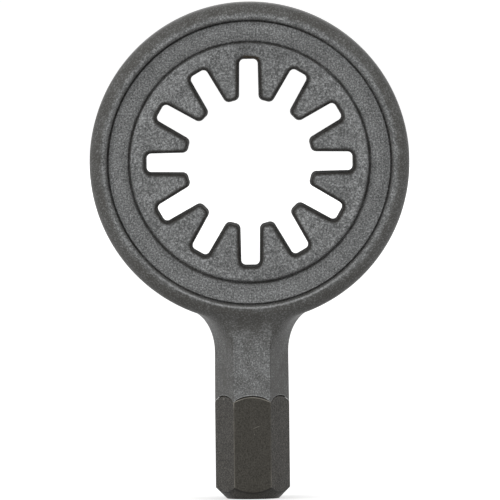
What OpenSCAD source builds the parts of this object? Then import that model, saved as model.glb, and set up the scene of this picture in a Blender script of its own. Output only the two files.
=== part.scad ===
// Broadhead wrench: a moulded head with a star-shaped opening, insert-moulded on a hexagon drive bit.
// Z is the drive axis and the bit's free end stands on z = 0. The head's axis is Y, its front faces -Y.

/* [Drive bit] */
// Size of the hexagon across its flats, a quarter of an inch
bit_af = 6.35; // [5.5:0.05:8]
// Length of the hexagon's corner edges, from the free end to the shoulder
bit_hex_len = 9.6; // [7:0.1:14]
// Chamfer on the free end, measured at the corner edges
bit_end_chamfer = 1.05; // [0.5:0.05:1.4]

/* [Anchor inside the stem] */
// Diameter over the knurl of the anchor
anchor_d = 4.5; // [3.6:0.1:4.8]
// Length of the anchor above the shoulder
anchor_len = 9.2; // [7:0.1:11]
// Width of the flat ledge between the shoulder and the anchor
anchor_ledge = 0.2; // [0.1:0.02:0.24]
// Number of ridges in the knurl
knurl_count = 18; // [12:1:24]
// Depth of the knurl
knurl_depth = 0.25; // [0.1:0.05:0.4]
// Width of the groove that holds the bit against pulling
groove_w = 1.4; // [0.8:0.1:2]
// Depth of that groove below the knurl's ridges
groove_depth = 0.6; // [0.45:0.05:0.9]
// Gap that the moulding leaves round the bit as it shrinks
mould_gap = 0.03; // [0.01:0.01:0.06]

/* [Stem and neck] */
// Length from the bit's shoulder to the lowest point of the rim
neck_len = 7.82; // [6.5:0.02:12]
// How far the stem's six sides draw in between the bit and the neck
waist_inset = 0.03; // [0.02:0.01:0.15]
// Fillet from the stem's slanted sides to the rim
side_fillet_r = 4.3; // [3:0.1:5]
// Fillet from the stem's front and back to the rim
face_fillet_r = 3.8; // [2.5:0.1:5]

/* [Star opening] */
// Number of slots for blades
slot_count = 12; // [6:1:14]
// Diameter across the tips of the teeth
tip_d = 12.36; // [11.5:0.02:16]
// Depth of a slot, from the tips to its end
slot_depth = 3.94; // [3:0.02:5]
// Width of a slot at its mouth
slot_mouth_w = 1.94; // [1.7:0.02:2.2]
// Width of a slot at its end
slot_end_w = 1.84; // [1.6:0.02:2.1]
// Corner radius at the end of a slot
slot_corner_r = 0.45; // [0.2:0.05:0.6]
// Corner radius of a tooth tip on the head's faces
tooth_corner_r = 0.06; // [0.03:0.01:0.2]
// Rounding of the opening's edges on the head's faces
star_edge_r = 0.25; // [0.15:0.05:0.4]
// Draft of the opening's walls, in degrees
star_draft = 2.5; // [0.3:0.1:3]

/* [Head] */
// Width of the plate between the ends of the slots and the channel
plate_land = 1.61; // [1:0.01:3]
// Height of the plate above the channel, on each face
plate_rise = 0.4; // [0.3:0.05:0.8]
// Rounding of the plate's outer edge
plate_edge_r = 0.3; // [0.1:0.05:0.3]
// Width of the channel between the plate and the rim
channel_w = 2.31; // [1:0.01:4]
// Width of the fine groove along each edge of the channel
foot_w = 0.18; // [0.1:0.02:0.4]
// Depth of that groove below the channel
foot_depth = 0.3; // [0.1:0.05:0.5]
// Width of the rim
rim_w = 1.7; // [1.65:0.05:4]
// Height of the rim above the channel, on each face
rim_rise = 0.9; // [0.6:0.05:1.5]
// Rounding of the rim towards the channel
rim_inner_r = 0.35; // [0.2:0.05:0.4]
// Rounding of the rim's outer edge
rim_outer_r = 1.25; // [0.6:0.05:1.3]

/* [Hidden] */
$fn = 96;

// How far a cut runs past what it cuts
past = 1;
// How far one blend sinks into the next, so that they cross and don't only touch
sink = 0.03;
// Segments in each rounded corner of the star
corner_steps = 3;
// Segments in the rounding of the star's edges
edge_steps = 2;

// Hexagon
flat_angle = 30;
bit_half = bit_af / 2;
bit_corner_r = bit_half / cos(flat_angle);

// Anchor, from the shoulder up
anchor_r = anchor_d / 2;
ledge_r = anchor_r + anchor_ledge;
anchor_z = bit_hex_len + bit_corner_r - ledge_r;
anchor_top_z = anchor_z + anchor_len;
groove_z = anchor_z + (anchor_len - groove_w) / 2;

// Head, from the centre out
tip_r = tip_d / 2;
slot_end_r = tip_r + slot_depth;
plate_r = slot_end_r + plate_land;
rim_in_r = plate_r + channel_w;
head_r = rim_in_r + rim_w;
head_z = bit_hex_len + neck_len + head_r;
channel_half = bit_half;
plate_half = channel_half + plate_rise;
rim_half = channel_half + rim_rise;

// Neck: the slanted sides' fillet leaves the rim's outline at the angle where both have one slope
waist_half = bit_half - waist_inset;
function side_x(a) = (waist_half + side_fillet_r * (1 - cos(a))) / cos(flat_angle);
function rim_angle(a) = atan(cos(flat_angle) / tan(a));
function meeting(lo, hi, left) =
    let (mid = (lo + hi) / 2)
    left == 0 ? mid
    : side_x(mid) > head_r * sin(rim_angle(mid)) ? meeting(lo, mid, left - 1)
    : meeting(mid, hi, left - 1);
side_angle = meeting(20, 88, 24);
side_top_z = head_z - head_r * cos(rim_angle(side_angle)) + sink;
side_foot_z = side_top_z - side_fillet_r * sin(side_angle);
side_top_half = waist_half + side_fillet_r * (1 - cos(side_angle));

// Neck: the front fillet is a ring about the head's axis that meets the rim's rounding
crest_r = head_r - rim_outer_r;
crest_y = rim_half - rim_outer_r;
ring_y = waist_half - sink + face_fillet_r;
ring_reach = face_fillet_r + rim_outer_r - sink;
ring_r = crest_r + sqrt(pow(ring_reach, 2) - pow(ring_y - crest_y, 2));
ring_top_y = crest_y + (ring_y - crest_y) * rim_outer_r / ring_reach;

// Star outline, worked out for a slot along +X
star_out = (plate_half - star_edge_r) * tan(star_draft);
star_flare = star_out + star_edge_r;
tip_corner = tooth_corner_r + star_flare;
slot_slope = (slot_mouth_w - slot_end_w) / 2 / slot_depth;
slot_lean = atan(slot_slope);
mouth_reach = slot_end_w / 2 + slot_end_r * slot_slope + tip_corner / cos(slot_lean);
mouth_x = mouth_reach * sin(slot_lean) * cos(slot_lean)
    + cos(slot_lean) * sqrt(pow(tip_r + tip_corner, 2) - pow(mouth_reach * cos(slot_lean), 2));
mouth_y = mouth_reach - mouth_x * slot_slope;
end_x = slot_end_r - slot_corner_r;
end_y = slot_end_w / 2 + slot_corner_r * (slot_slope - 1 / cos(slot_lean));

// Points along an arc, from one angle to another
function arc(x, y, r, from, to) =
    [for (i = [0:corner_steps]) let (a = from + (to - from) * i / corner_steps) [x + r * cos(a), y + r * sin(a)]];

// Half of a slot's outline, grown outwards: from the middle of its end to the tip of the next tooth
function half_slot(grow) = concat(
    arc(end_x, end_y, slot_corner_r + grow, 0, 90 - slot_lean),
    arc(mouth_x, mouth_y, tip_corner - grow, 270 - slot_lean, 180 + atan2(mouth_y, mouth_x)));

// A whole slot's outline, counter-clockwise, from one tooth to the next
function slot_outline(grow) =
    let (half = half_slot(grow), last = len(half) - 1)
    concat([for (i = [last:-1:0]) [half[i][0], -half[i][1]]], half);

// The star's outline at one depth, as points in space
function star_ring(y, grow) = [
    for (k = [0:slot_count - 1], p = slot_outline(grow))
        let (a = 90 + k * 360 / slot_count)
        [p[0] * cos(a) - p[1] * sin(a), y, p[0] * sin(a) + p[1] * cos(a)]];

// Depth and growth of the star's outline on one half, from the parting plane out
function star_levels() = concat(
    [[0, 0]],
    [for (i = [0:edge_steps]) let (a = 90 * i / edge_steps)
        [plate_half - star_edge_r * (1 - sin(a)), star_out + star_edge_r * (1 - cos(a))]],
    [[rim_half + past, star_flare]]);

// A loft through outlines that have the same number of points
module loft(rings) {
    count = len(rings[0]);
    last = len(rings) - 1;
    points = [for (ring = rings, p = ring) p];
    sides = [
        for (r = [0:last - 1], i = [0:count - 1])
            let (j = (i + 1) % count)
            [r * count + i, r * count + j, (r + 1) * count + j, (r + 1) * count + i]];
    first_cap = [for (i = [count - 1:-1:0]) i];
    last_cap = [for (i = [0:count - 1]) last * count + i];
    polyhedron(points, concat([first_cap], sides, [last_cap]), convexity = 10);
}

// The star-shaped opening with draft to both sides of the parting plane and rounded edges
module star_opening() {
    levels = star_levels();
    last = len(levels) - 1;
    loft(concat(
        [for (i = [last:-1:1]) star_ring(-levels[i][0], levels[i][1])],
        [for (level = levels) star_ring(level[0], level[1])]));
}

// What is taken off a square corner at the origin, which lies at its upper right, to round it
module corner_cut(r) {
    translate([-r, -r])
        difference() {
            square(r + past);
            circle(r);
        }
}

// Cross-section of a raised ring that has rounded edges, alike on both faces
module land(from, to, half, in_r, out_r) {
    difference() {
        translate([from, -half]) square([to - from, 2 * half]);
        for (side = [0, 1]) {
            mirror([0, side]) {
                if (out_r > 0) translate([to, half]) corner_cut(out_r);
                if (in_r > 0) translate([from, half]) mirror([1, 0]) corner_cut(in_r);
            }
        }
    }
}

// The round head in one revolve: plate, channel with a fine groove along each edge, and rim
module disc() {
    rotate([90, 0, 0])
        rotate_extrude() {
            land(0, plate_r, plate_half, 0, plate_edge_r);
            land(0, crest_r, channel_half - foot_depth, 0, 0);
            land(plate_r + foot_w, rim_in_r - foot_w, channel_half, 0, 0);
            land(rim_in_r, head_r, rim_half, rim_inner_r, rim_outer_r);
        }
}

// Outline of the stem and its flare across one pair of slanted sides
module side_outline() {
    foot_z = bit_hex_len - past / 2;
    polygon([
        [-bit_half, foot_z], [bit_half, foot_z], [bit_half, bit_hex_len], [waist_half, side_foot_z],
        [0, side_foot_z + past], [-waist_half, side_foot_z], [-bit_half, bit_hex_len]]);
    difference() {
        translate([-side_top_half, side_foot_z]) square([2 * side_top_half, side_top_z - side_foot_z]);
        for (side = [-1, 1])
            translate([side * (waist_half + side_fillet_r), side_foot_z]) circle(side_fillet_r);
    }
}

// Outline of the stem from front to back
module face_outline() {
    foot_z = bit_hex_len - past / 2;
    polygon([
        [-bit_half, foot_z], [bit_half, foot_z], [bit_half, bit_hex_len], [waist_half, side_foot_z],
        [waist_half, side_top_z], [-waist_half, side_top_z], [-waist_half, side_foot_z], [-bit_half, bit_hex_len]]);
}

// An outline that stands upright, carried straight through from one side to the other
module upright(turn) {
    rotate([0, 0, turn])
        rotate([90, 0, 0])
            linear_extrude(2 * head_r, center = true)
                children();
}

// The ring-shaped fillet from the rim down to the stem's front and back
module face_fillet() {
    translate([0, 0, head_z])
        rotate([90, 0, 0])
            rotate_extrude()
                difference() {
                    translate([crest_r, -ring_top_y]) square([ring_r - crest_r, 2 * ring_top_y]);
                    for (side = [-1, 1]) translate([ring_r, side * ring_y]) circle(face_fillet_r);
                }
}

// Hexagon stem that flares into the rim on all sides
module neck() {
    intersection() {
        upright(flat_angle) side_outline();
        upright(-flat_angle) side_outline();
        union() {
            upright(90) face_outline();
            face_fillet();
        }
    }
}

// Outline of the knurl with its ridges
function knurl_outline(gap) = [
    for (i = [0:2 * knurl_count - 1])
        let (r = anchor_r + gap - (i % 2) * knurl_depth, a = i * 180 / knurl_count)
        [r * cos(a), r * sin(a)]];

// A length of the knurled anchor
module knurl(from, to, gap) {
    translate([0, 0, from]) linear_extrude(to - from) polygon(knurl_outline(gap));
}

// The anchor in its true size, or grown by a gap for the space that it fills in the moulding
module anchor(gap) {
    root_z = anchor_z - past / 2;
    translate([0, 0, root_z]) cylinder(r = anchor_r - groove_depth + gap, h = anchor_top_z + gap - root_z);
    knurl(root_z, groove_z + gap, gap);
    knurl(groove_z + groove_w - gap, anchor_top_z + gap, gap);
}

// The hollow that the stem's end forms on the bit's shoulder
module shoulder_seat() {
    lift = mould_gap / cos(45);
    reach = bit_corner_r + past;
    rotate_extrude()
        polygon([
            [0, 0], [reach, 0], [reach, bit_hex_len - past + lift],
            [ledge_r + lift - mould_gap, anchor_z + mould_gap], [0, anchor_z + mould_gap]]);
}

module wrench_head() {
    color([0.44, 0.445, 0.44])
        difference() {
            union() {
                translate([0, 0, head_z]) disc();
                neck();
            }
            translate([0, 0, head_z]) star_opening();
            shoulder_seat();
            anchor(mould_gap);
        }
}

module hex_bit() {
    color([0.26, 0.255, 0.245]) {
        intersection() {
            cylinder(r = bit_corner_r, h = anchor_z, $fn = 6);
            rotate_extrude()
                polygon([
                    [0, 0], [bit_corner_r - bit_end_chamfer, 0],
                    [bit_corner_r + past / 2, bit_end_chamfer + past / 2],
                    [bit_corner_r + past / 2, bit_hex_len - past / 2], [ledge_r, anchor_z], [0, anchor_z]]);
        }
        anchor(0);
    }
}

wrench_head();
hex_bit();
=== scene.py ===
"""Broadhead wrench: a moulded round head with a star opening, insert-moulded on a blackened hexagon bit.

The wrench stands on the bit's free end. Z is the drive axis, the head's axis is Y and its front faces -Y.
All lengths are in metres, in the frame of the CAD model.
"""

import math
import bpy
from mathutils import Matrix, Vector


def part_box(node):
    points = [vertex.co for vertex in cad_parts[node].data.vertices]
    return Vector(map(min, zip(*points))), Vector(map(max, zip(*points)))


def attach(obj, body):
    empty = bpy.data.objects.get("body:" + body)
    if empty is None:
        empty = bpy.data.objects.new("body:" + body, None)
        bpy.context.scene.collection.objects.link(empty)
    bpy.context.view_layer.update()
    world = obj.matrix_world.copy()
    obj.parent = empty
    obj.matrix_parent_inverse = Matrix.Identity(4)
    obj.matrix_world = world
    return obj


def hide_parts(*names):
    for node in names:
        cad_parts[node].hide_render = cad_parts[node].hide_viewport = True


bl_info = {
    "name": "Broadhead wrench",
    "version": (1, 0, 0),
    "blender": (4, 5, 0),
    "location": "3D View > Sidebar > Wrench",
    "description": "Builds a moulded broadhead wrench on its hexagon bit, and a plain studio stage",
    "category": "Add Mesh",
}

import bpy
import numpy as np
from bpy.props import FloatProperty, FloatVectorProperty, IntProperty, PointerProperty
from mathutils import Matrix, Vector

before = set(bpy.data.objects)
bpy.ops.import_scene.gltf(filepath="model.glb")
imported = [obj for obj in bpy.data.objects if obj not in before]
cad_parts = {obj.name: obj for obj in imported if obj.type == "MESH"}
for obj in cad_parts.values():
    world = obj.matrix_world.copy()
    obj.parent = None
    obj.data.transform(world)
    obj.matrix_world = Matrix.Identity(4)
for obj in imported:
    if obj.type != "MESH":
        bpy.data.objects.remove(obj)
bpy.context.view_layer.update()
head_low, head_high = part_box("wrench_head")
_, bit_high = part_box("hex_bit")

MM = 0.001
WHITE = (1.0, 1.0, 1.0, 1.0)
# Weights on the points: grain; a darkening that is painted shade in the grooves, the seam, on the star's
# walls, round the neck, on the rim's bottom and on the bit's chamfer, and real dirt along one edge of the
# stem; and a paling that is real wear on the bit, and painted highlights and a painted sheen on the moulding.
WEIGHTS = ("grain", "crevice", "wear")
GRAIN, SHADE_AND_DIRT, WEAR_AND_HIGHLIGHT = range(len(WEIGHTS))

HEAD_R = (head_high.x - head_low.x) / 2
HEX_TURN = math.radians(60)
HEX_SLANT = math.cos(math.radians(30))
BEVEL = math.radians(45)

# Points along half of a slot's outline: on its flat end, a corner's arc, its side and the tooth's tip.
END_POINTS, ARC_POINTS, SIDE_POINTS = 2, 7, 4
TIP_SHARES = np.array([0.5, 1.0])

# Rows over the head's section, from the star's wall on the parting plane out to the rim's wall. A foot is one
# corner of a groove's floor. The channel's rows are given as shares of its width, closer at the plate. The
# crest's grain is that of the first rows over the rim's outer rounding.
STAR_WALL_ROWS, STAR_EDGE_ROWS, PLATE_ROWS, PLATE_EDGE_ROWS = 3, 8, 7, 7
FOOT_ROWS, CHANNEL_IN_ROWS, CHANNEL_OUT_ROWS = 3, 6, 6
CHANNEL_SHARES = np.array([0.08, 0.16, 0.26, 0.4, 0.7])
RIM_IN_ROWS, RIM_OUT_ROWS, RIM_WALL_ROWS = 7, 15, 4
CREST_GRAIN = np.array([1.0, 0.6, 0.3])

# The rim's window for the neck: half its width as an angle, and its rows from its edge to the parting plane.
WINDOW_TURN, WINDOW_ROWS = math.radians(26), 16
# How far from the neck, as angles, the painted shading of the rim's bottom stops, and over which angle
# it fades.
BOTTOM_SHADING_END, BOTTOM_SHADING_FADE = 0.95, 0.45

# The neck: steps over a corner's arc, places tried round the hexagon, rows on the rim and over the fillet.
NECK_ARC_STEPS, NECK_PLACES, PATCH_ROWS, FILLET_ROWS = 60, 6001, 6, 20
# Share of the neck's draw that its front and back have.
DRAW_FRONT = 0.2
# Weights of the rim's skin round the neck, with painted shade, and of surfaces inside the seam, dark with
# painted shade.
RIM_SKIN = np.array([0.05, 0.2, 0.0])
SEAM_SHADE = np.array([0.1, 1.0, 0.0])
# Where the neck's skin passes into the stem's faces: share at the fillet's foot, length of the passage, and
# how much lower it lies at the sides.
SKIN_FOOT, SKIN_FADE, SKIN_BOW = 0.70, 2.2 * MM, 0.8 * MM

# Rows down the stem as shares of its length, and its lip: height in millimetres at the hexagon's corners and
# what it gains over the flats, and for each row how far it stands in and up, as shares of that height.
STEM_SHARES = np.append(np.linspace(0, 1, 19)[1:-1], [0.985, 1.0])[:, None]
LIP_CORNER, LIP_GAIN = 0.03, 0.07
LIP_IN = np.array([0.15, 0.5, 1.0])[:, None]
LIP_UP = np.array([0.45, 0.1, 0.0])[:, None]
# At the hexagon's corners the seam closes, by so many times its gap.
SEAM_CLOSING = 1.1

# The bit: places over a flat and rows up the hexagon as shares, close together at the edges, steps over a
# corner's arc, rows of an edge's rounding, painted shade on the chamfer's edges, and painted shade at shares
# of the way up it.
FLAT_SHARES = np.concatenate([[0.006], np.linspace(0, 1, 23)[1:-1], [0.994]])
HEX_SHARES = np.concatenate([[0.004], np.linspace(0, 1, 26)[1:-1], [0.985, 1.0]])
BIT_ARC_STEPS, EDGE_ROWS = 6, 4
EDGE_SHADE = 0.9
CHAMFER_SHADE = ((0.14, 0.5), (0.24, 0.15), (0.5, 0.12), (0.75, 0.2))

# Finishes: specks and clouds per metre, the relief's strength and depth, and the shader's specular level. Pits
# are the specks' noise, read at a place shifted by so much.
NYLON_SCALES, NYLON_BUMP, NYLON_GLOSS = (6000.0, 900.0), (0.35, 0.02 * MM), 0.32
STEEL_SCALES, STEEL_BUMP, STEEL_GLOSS = (7000.0, 700.0), (0.8, 0.01 * MM), 0.24
PIT_SHIFT = (0.013, 0.029, 0.007)
# Nylon: how far clouds make half grain uneven, the pits' share of the specks, and what specks and crevices
# add to the roughness. Then the specks' strength, the roughness and the relief, each on smooth skin and on
# full grain.
NYLON_UNEVEN, NYLON_PITS, SPECK_ROUGHNESS, CREVICE_ROUGHNESS = 2.2, 0.8, 0.06, 0.5
NYLON_SPECKS, NYLON_ROUGHNESS, NYLON_RELIEF = (0.20, 0.64), (0.40, 0.62), (0.25, 1.0)
# Streaks: turns, fineness and start of their noise, their depth, and where they fade, from the head's axis.
# The start is set so that the streaks also darken the head's top and lighten its left, which is painted shade
# and painted light.
STREAKS, STREAK_DEPTH, STREAK_FADE = (1.6, 700.0, 37.0), 0.36, (13.5 * MM, 15.2 * MM)
# Steel: flecks on the front and on the slanted flats, soot on the slanted flats, roughness from the clouds'
# low to their high, and what wear takes off it.
FLECKS_FRONT, FLECKS_SIDE, SIDE_SOOT, STEEL_ROUGHNESS, POLISH = 0.15, 0.3, 0.8, (0.42, 0.52), 0.12
# Marks on the front: middle across and up in millimetres, lean in degrees, size in millimetres, and strength.
# Those on the moulding count from the head's axis. The bit has two scratches and a chip of bare metal.
WELD_MARK = ((-0.05, 10.9), 0, (4.0, 1.9), 0.2)
STAIN_MARK = ((0.25, 10.2), -8, (1.9, 0.7), 0.6)
BARE_MARKS = (
    ((0.41, 7.09), 23, (0.8, 0.07), 0.3),
    ((0.19, 6.41), 80, (0.16, 0.08), 0.3),
    ((-2.80, 9.84), 70, (0.26, 0.2), 0.35))
CHIP_PIT = ((-2.62, 9.82), 70, (0.3, 0.2), 0.8)

# Stage, in metres: the lamps' places and their size, the floor's half width, its grey, and its own white from
# one distance to another from the bit. The camera's sensor is in millimetres.
LAMPS = {
    "front": (-0.25, -1.25, 0.30), "left": (-0.85, -0.85, 0.65), "right": (0.85, -0.85, 0.65),
    "back": (0.35, 1.25, 0.25)}
LAMP_SIZE = 0.6
FLOOR_REACH = 6.0
PAPER_GREY = (0.5, 0.5, 0.5, 1.0)
GLOW_REACH, GLOW = (4 * MM, 10 * MM), (0.6, 0.86)
SENSOR_WIDTH = 36.0
CAMERA_CLIP = (0.01, 50.0)


def length(name, description, default):
    """A length property in metres."""
    return FloatProperty(
        name=name, description=description, default=default, min=0.0, unit="LENGTH", precision=5)


def angle(name, description, degrees):
    """An angle property, with its default in degrees."""
    return FloatProperty(name=name, description=description, default=math.radians(degrees), subtype="ANGLE")


def power(name, watts):
    """The power property of a lamp."""
    return FloatProperty(
        name=name, description=f"Power of the {name.lower()} in watts", default=watts, unit="POWER")


def number(name, description, default):
    """A property that counts like features round an axis."""
    return IntProperty(name=name, description=description, default=default, min=6)


def tint(name, description, default):
    """A colour property, in linear values."""
    return FloatVectorProperty(
        name=name, description=description, default=default, min=0.0, max=1.0, size=4, subtype="COLOR")


class WrenchHeadSizes(bpy.types.PropertyGroup):
    """Sizes of the moulded head, its star opening, its neck and its stem."""

    head_r: length("Head radius", "Radius of the rim's outer wall", HEAD_R)
    head_z: length("Head height", "Height of the head's axis above the bit's free end", head_high.z - HEAD_R)
    rim_half: length("Rim half depth", "From the parting plane to the rim's crest", head_high.y)
    rim_w: length("Rim width", "Width of the rim", 1.70 * MM)
    rim_outer_r: length("Rim outer rounding", "Rounding of the rim's outer edge", 1.32 * MM)
    rim_inner_r: length("Rim inner rounding", "Rounding of the rim towards the channel", 0.37 * MM)
    channel_w: length("Channel width", "Width of the channel between plate and rim", 2.31 * MM)
    channel_half: length("Channel half depth", "From the parting plane to the channel's floor", bit_high.y)
    foot_w: length("Groove width", "Width of the fine groove along each edge of the channel", 0.17 * MM)
    foot_depth: length("Groove depth", "Depth of that groove below the channel", 0.3 * MM)
    foot_r: length("Groove rounding", "Rounding of the groove's floor", 0.05 * MM)
    channel_in_r: length(
        "Channel inner rounding", "Rounding of the channel into the groove at the plate", 0.24 * MM)
    channel_out_r: length(
        "Channel outer rounding", "Rounding of the channel into the groove at the rim", 0.06 * MM)
    plate_rise: length("Plate rise", "Height of the plate above the channel", 0.4 * MM)
    plate_edge_r: length("Plate edge rounding", "Rounding of the plate's outer edge", 0.3 * MM)
    slot_count: number("Slots", "Number of slots for blades", 12)
    tip_d: length("Tooth tip diameter", "Diameter across the tips of the teeth", 12.36 * MM)
    slot_depth: length("Slot depth", "From the tips to the end of a slot", 3.94 * MM)
    slot_mouth_w: length("Slot mouth width", "Width of a slot at its mouth", 1.905 * MM)
    slot_end_w: length("Slot end width", "Width of a slot at its end", 1.795 * MM)
    slot_corner_r: length("Slot corner radius", "Corner radius at the end of a slot", 0.45 * MM)
    tooth_corner_r: length(
        "Tooth corner radius", "Corner radius of a tooth tip on the parting plane", 0.58 * MM)
    star_edge_r: length("Star edge rounding", "Rounding of the opening's edges on the faces", 0.33 * MM)
    star_draft: angle("Star draft", "Draft of the opening's walls", 2.9)
    neck_fillet_r: length("Neck fillet", "Radius of the ball that rolls round the neck", 3.51 * MM)
    neck_draw: length("Neck draw", "How far the neck's foot is drawn down the stem's sides", 0.87 * MM)
    waist_inset: length("Waist inset", "How far the stem draws in below the neck", 0.03 * MM)
    stem_corner_r: length("Stem corner radius", "Rounding of the stem's six edges", 0.12 * MM)
    seam_gap: length("Seam gap", "Gap between the stem's end and the bit's shoulder", 0.065 * MM)


class WrenchBitSizes(bpy.types.PropertyGroup):
    """Sizes of the hexagon bit and of its anchor inside the stem."""

    half: length("Half width", "From the axis to a flat of the hexagon", bit_high.y)
    hex_len: length("Hexagon length", "Length of the hexagon's corner edges with the chamfer", 9.55 * MM)
    end_chamfer: length("End chamfer", "Chamfer on the free end, at the corner edges", 1.11 * MM)
    corner_r: length("Corner radius", "Rounding of the hexagon's corner edges", 0.07 * MM)
    edge_r: length("Edge rounding", "Rounding of the chamfer's edges", 0.06 * MM)
    anchor_d: length("Anchor diameter", "Diameter over the knurl", 4.5 * MM)
    anchor_ledge: length("Anchor ledge", "Width of the flat ledge round the anchor's foot", 0.2 * MM)
    anchor_top: length("Anchor top", "Height of the anchor's end", bit_high.z)
    knurl_count: number("Knurl ridges", "Number of ridges in the knurl", 18)
    knurl_depth: length("Knurl depth", "Depth of the knurl", 0.25 * MM)
    groove_w: length("Groove width", "Width of the anchor's groove", 1.4 * MM)
    groove_depth: length("Groove depth", "Depth of the anchor's groove below the ridges", 0.6 * MM)


class WrenchFinish(bpy.types.PropertyGroup):
    """Colours of the two materials."""

    nylon: tint("Nylon", "Grainy glass-filled nylon on the flat faces", (0.192, 0.196, 0.196, 1.0))
    nylon_dull: tint("Nylon, dull", "Darker patches of the grainy faces", (0.126, 0.129, 0.128, 1.0))
    nylon_skin: tint("Nylon skin", "Smoother skin of the rim's slope, the neck and the stem's sides",
                     (0.062, 0.060, 0.055, 1.0))
    # Pale specks in the grain; the same colour also paints the highlight on the crest and the stem's last
    # ring, and the sheen on the neck's sides.
    nylon_pale_and_highlight: tint("Glass fibre", "Pale specks in the grain", (0.50, 0.51, 0.515, 1.0))
    nylon_dark: tint("Pits", "Dark specks in the grain", (0.02, 0.02, 0.02, 1.0))
    nylon_stain: tint("Nylon, stained", "Brown trace of the mould at the top slot",
                      (0.040, 0.027, 0.011, 1.0))
    # Painted shade: this dark colour is laid where shade falls, in the grooves, the seam, on the star's walls,
    # round the neck, on the rim's bottom and along the bit's chamfer. On the bit's slanted flats and in its
    # pit it is soot.
    soot_and_shade: tint("Soot", "Dirt in the grooves, on the star's walls and along the bit's chamfer",
               (0.006, 0.0045, 0.003, 1.0))
    steel: tint("Blackened steel", "Black oxide on the bit", (0.0195, 0.0177, 0.0137, 1.0))
    steel_worn: tint("Worn steel", "Steel where the oxide has rubbed off", (0.34, 0.32, 0.28, 1.0))


class WrenchStage(bpy.types.PropertyGroup):
    """Camera, lamps and floor."""

    distance: length("Camera distance", "From the camera to the drive axis", 2000 * MM)
    view_size: length("View size", "Width of the picture at the drive axis", 49.25 * MM)
    aim_x: FloatProperty(
        name="Aim across", description="Where the camera aims, along X", default=-0.047 * MM, unit="LENGTH")
    aim_z: length("Aim height", "Where the camera aims, along Z", 24.46 * MM)
    elevation: angle("Elevation", "How far the camera looks down", 1.7)
    roll: angle("Roll", "Turn of the camera about its own axis", 0.62)
    front_power: power("Front lamp", 5.3)
    left_power: power("Left lamp", 5.1)
    right_power: power("Right lamp", 2.5)
    back_power: power("Back lamp", 5.5)
    sky: FloatProperty(name="Sky", description="Strength of the white surround", default=0.36, min=0.0)


def ramp(value, start, width):
    """Nothing up to the start, one from a width further on, and a straight line between them.

    A negative width counts downwards from the start."""
    return np.clip((value - start) / width, 0, 1)


def rounded_profile(corners, radii, rows):
    """A line through right-angled corners, each rounded by a quarter of a circle with so many rows of points.

    With d the direction into a corner and e the direction out of it, the quarter circle is the corner, less
    r d, plus r (d sin a + e (1 - cos a)), for a from nothing to a right angle."""
    corners = np.asarray(corners, float)
    runs = np.diff(corners, axis=0)
    runs /= np.linalg.norm(runs, axis=1, keepdims=True)
    parts = []
    for corner, into, out, r, count in zip(corners[1:-1], runs[:-1], runs[1:], radii, rows):
        a = np.linspace(0, math.pi / 2, count)[:, None]
        parts.append(corner - r * into + r * (into * np.sin(a) + out * (1 - np.cos(a))))
    return np.concatenate(parts)


def slot_half(s, grow):
    """Half of one slot's outline, u along the slot and v across it, for a column of growths outwards.

    It runs along the slot's flat end, round the end's corner, whose centre stays and whose radius gains
    the growth, down the slightly tapered side, round the tooth's corner, whose radius loses half of the
    growth and whose centre draws back with the side and the tip, and along the circle of the tips to the
    tooth's middle."""
    tip_r = s.tip_d / 2
    end_r = tip_r + s.slot_depth
    slope = (s.slot_mouth_w - s.slot_end_w) / 2 / s.slot_depth
    lean = math.atan(slope)
    tooth_r = s.tooth_corner_r - 0.5 * grow
    off = tooth_r + grow
    reach = s.slot_end_w / 2 + end_r * slope + off / math.cos(lean)
    square = (tip_r + off) ** 2 - (reach * math.cos(lean)) ** 2
    mouth_u = reach * math.sin(lean) * math.cos(lean) + math.cos(lean) * np.sqrt(square)
    mouth_v = reach - mouth_u * slope
    end_u = end_r - s.slot_corner_r
    end_v = s.slot_end_w / 2 + s.slot_corner_r * (slope - 1 / math.cos(lean))
    mouth_a = np.arctan2(mouth_v, mouth_u)

    a = np.linspace(0, math.pi / 2 - lean, ARC_POINTS)
    corner_u = end_u + (s.slot_corner_r + grow) * np.cos(a)
    corner_v = end_v + (s.slot_corner_r + grow) * np.sin(a)
    a = math.pi * 1.5 - lean + np.linspace(0, 1, ARC_POINTS) * (mouth_a + lean - math.pi / 2)
    tooth_u = mouth_u + tooth_r * np.cos(a)
    tooth_v = mouth_v + tooth_r * np.sin(a)
    f = np.linspace(0, 1, SIDE_POINTS + 2)[1:-1]
    side_u = corner_u[:, -1:] + f * (tooth_u[:, :1] - corner_u[:, -1:])
    side_v = corner_v[:, -1:] + f * (tooth_v[:, :1] - corner_v[:, -1:])
    f = np.linspace(0, 1, END_POINTS + 1)[:-1]
    end_flat_u = corner_u[:, :1] + 0 * f
    end_flat_v = corner_v[:, :1] * f
    a = mouth_a + TIP_SHARES * (math.pi / s.slot_count - mouth_a)
    tip_u = (tip_r + grow) * np.cos(a)
    tip_v = (tip_r + grow) * np.sin(a)
    u = np.concatenate([end_flat_u, corner_u, side_u, tooth_u, tip_u], axis=1)
    v = np.concatenate([end_flat_v, corner_v, side_v, tooth_v, tip_v], axis=1)
    return u, v


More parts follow.
